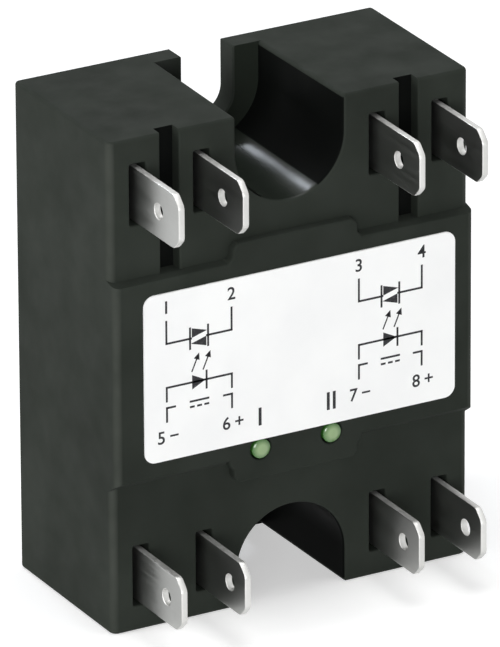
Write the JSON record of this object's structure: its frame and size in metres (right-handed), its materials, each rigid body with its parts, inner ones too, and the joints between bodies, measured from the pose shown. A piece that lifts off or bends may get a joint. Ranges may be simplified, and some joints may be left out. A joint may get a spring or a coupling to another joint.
{
  "type": "solid state relay",
  "caption": "Panel-mount solid state relay: black moulded housing with screw notches, metal base plate, white label, push-on tabs and green indicator lights.",
  "frame": {"origin": "middle of the base plate's rear mounting face", "axes": "+Y out of the mounting face towards the heat sink, so the label and the tabs face -Y; +Z along the long side, from the input tabs up to the output tabs; +X to the right seen from the label side"},
  "size_m": [0.045, 0.0318, 0.0582],
  "materials": {
    "black_moulding": "satin moulded thermoplastic",
    "nickel_plating": "nickel plated, fine brushed",
    "tinned_brass": "bright tin plating",
    "label_film": "white polyester film with black print",
    "green_lens": "clear green moulding",
    "emitter_case": "white case with a clear top",
    "white_ceramic": "fired alumina",
    "bare_copper": "bare copper",
    "silicon": "polished silicon with a metal top",
    "green_board": "glass fibre laminate under green lacquer",
    "moulded_case": "matt moulding compound",
    "resistor_body": "glazed top",
    "cast_fill": "cast flexible resin"
  },
  "bodies": {
    "root": {"housing": "black_moulding", "base_plate": "nickel_plating", "label": "label_film", "casting_fill": "cast_fill", "control_board": "green_board", "output_terminal_1": "tinned_brass", "output_terminal_2": "tinned_brass", "output_terminal_3": "tinned_brass", "output_terminal_4": "tinned_brass", "input_terminal_5": "tinned_brass", "input_terminal_6": "tinned_brass", "input_terminal_7": "tinned_brass", "input_terminal_8": "tinned_brass", "power_substrate_a": "white_ceramic", "substrate_copper_a": "bare_copper", "line_track_a": "bare_copper", "load_track_a": "bare_copper", "thyristor_a1": "silicon", "bridge_clip_a1": "bare_copper", "gate_lead_a1": "tinned_brass", "thyristor_a2": "silicon", "bridge_clip_a2": "bare_copper", "gate_lead_a2": "tinned_brass", "coupler_a": "moulded_case", "protection_diode_a": "moulded_case", "current_transistor_a": "moulded_case", "input_resistor_a": "resistor_body", "gate_resistor_a": "resistor_body", "indicator_chip_a": "emitter_case", "light_guide_a": "green_lens", "power_substrate_b": "white_ceramic", "substrate_copper_b": "bare_copper", "line_track_b": "bare_copper", "load_track_b": "bare_copper", "thyristor_b1": "silicon", "bridge_clip_b1": "bare_copper", "gate_lead_b1": "tinned_brass", "thyristor_b2": "silicon", "bridge_clip_b2": "bare_copper", "gate_lead_b2": "tinned_brass", "coupler_b": "moulded_case", "protection_diode_b": "moulded_case", "current_transistor_b": "moulded_case", "input_resistor_b": "resistor_body", "gate_resistor_b": "resistor_body", "indicator_chip_b": "emitter_case", "light_guide_b": "green_lens"}
  },
  "joints": []
}
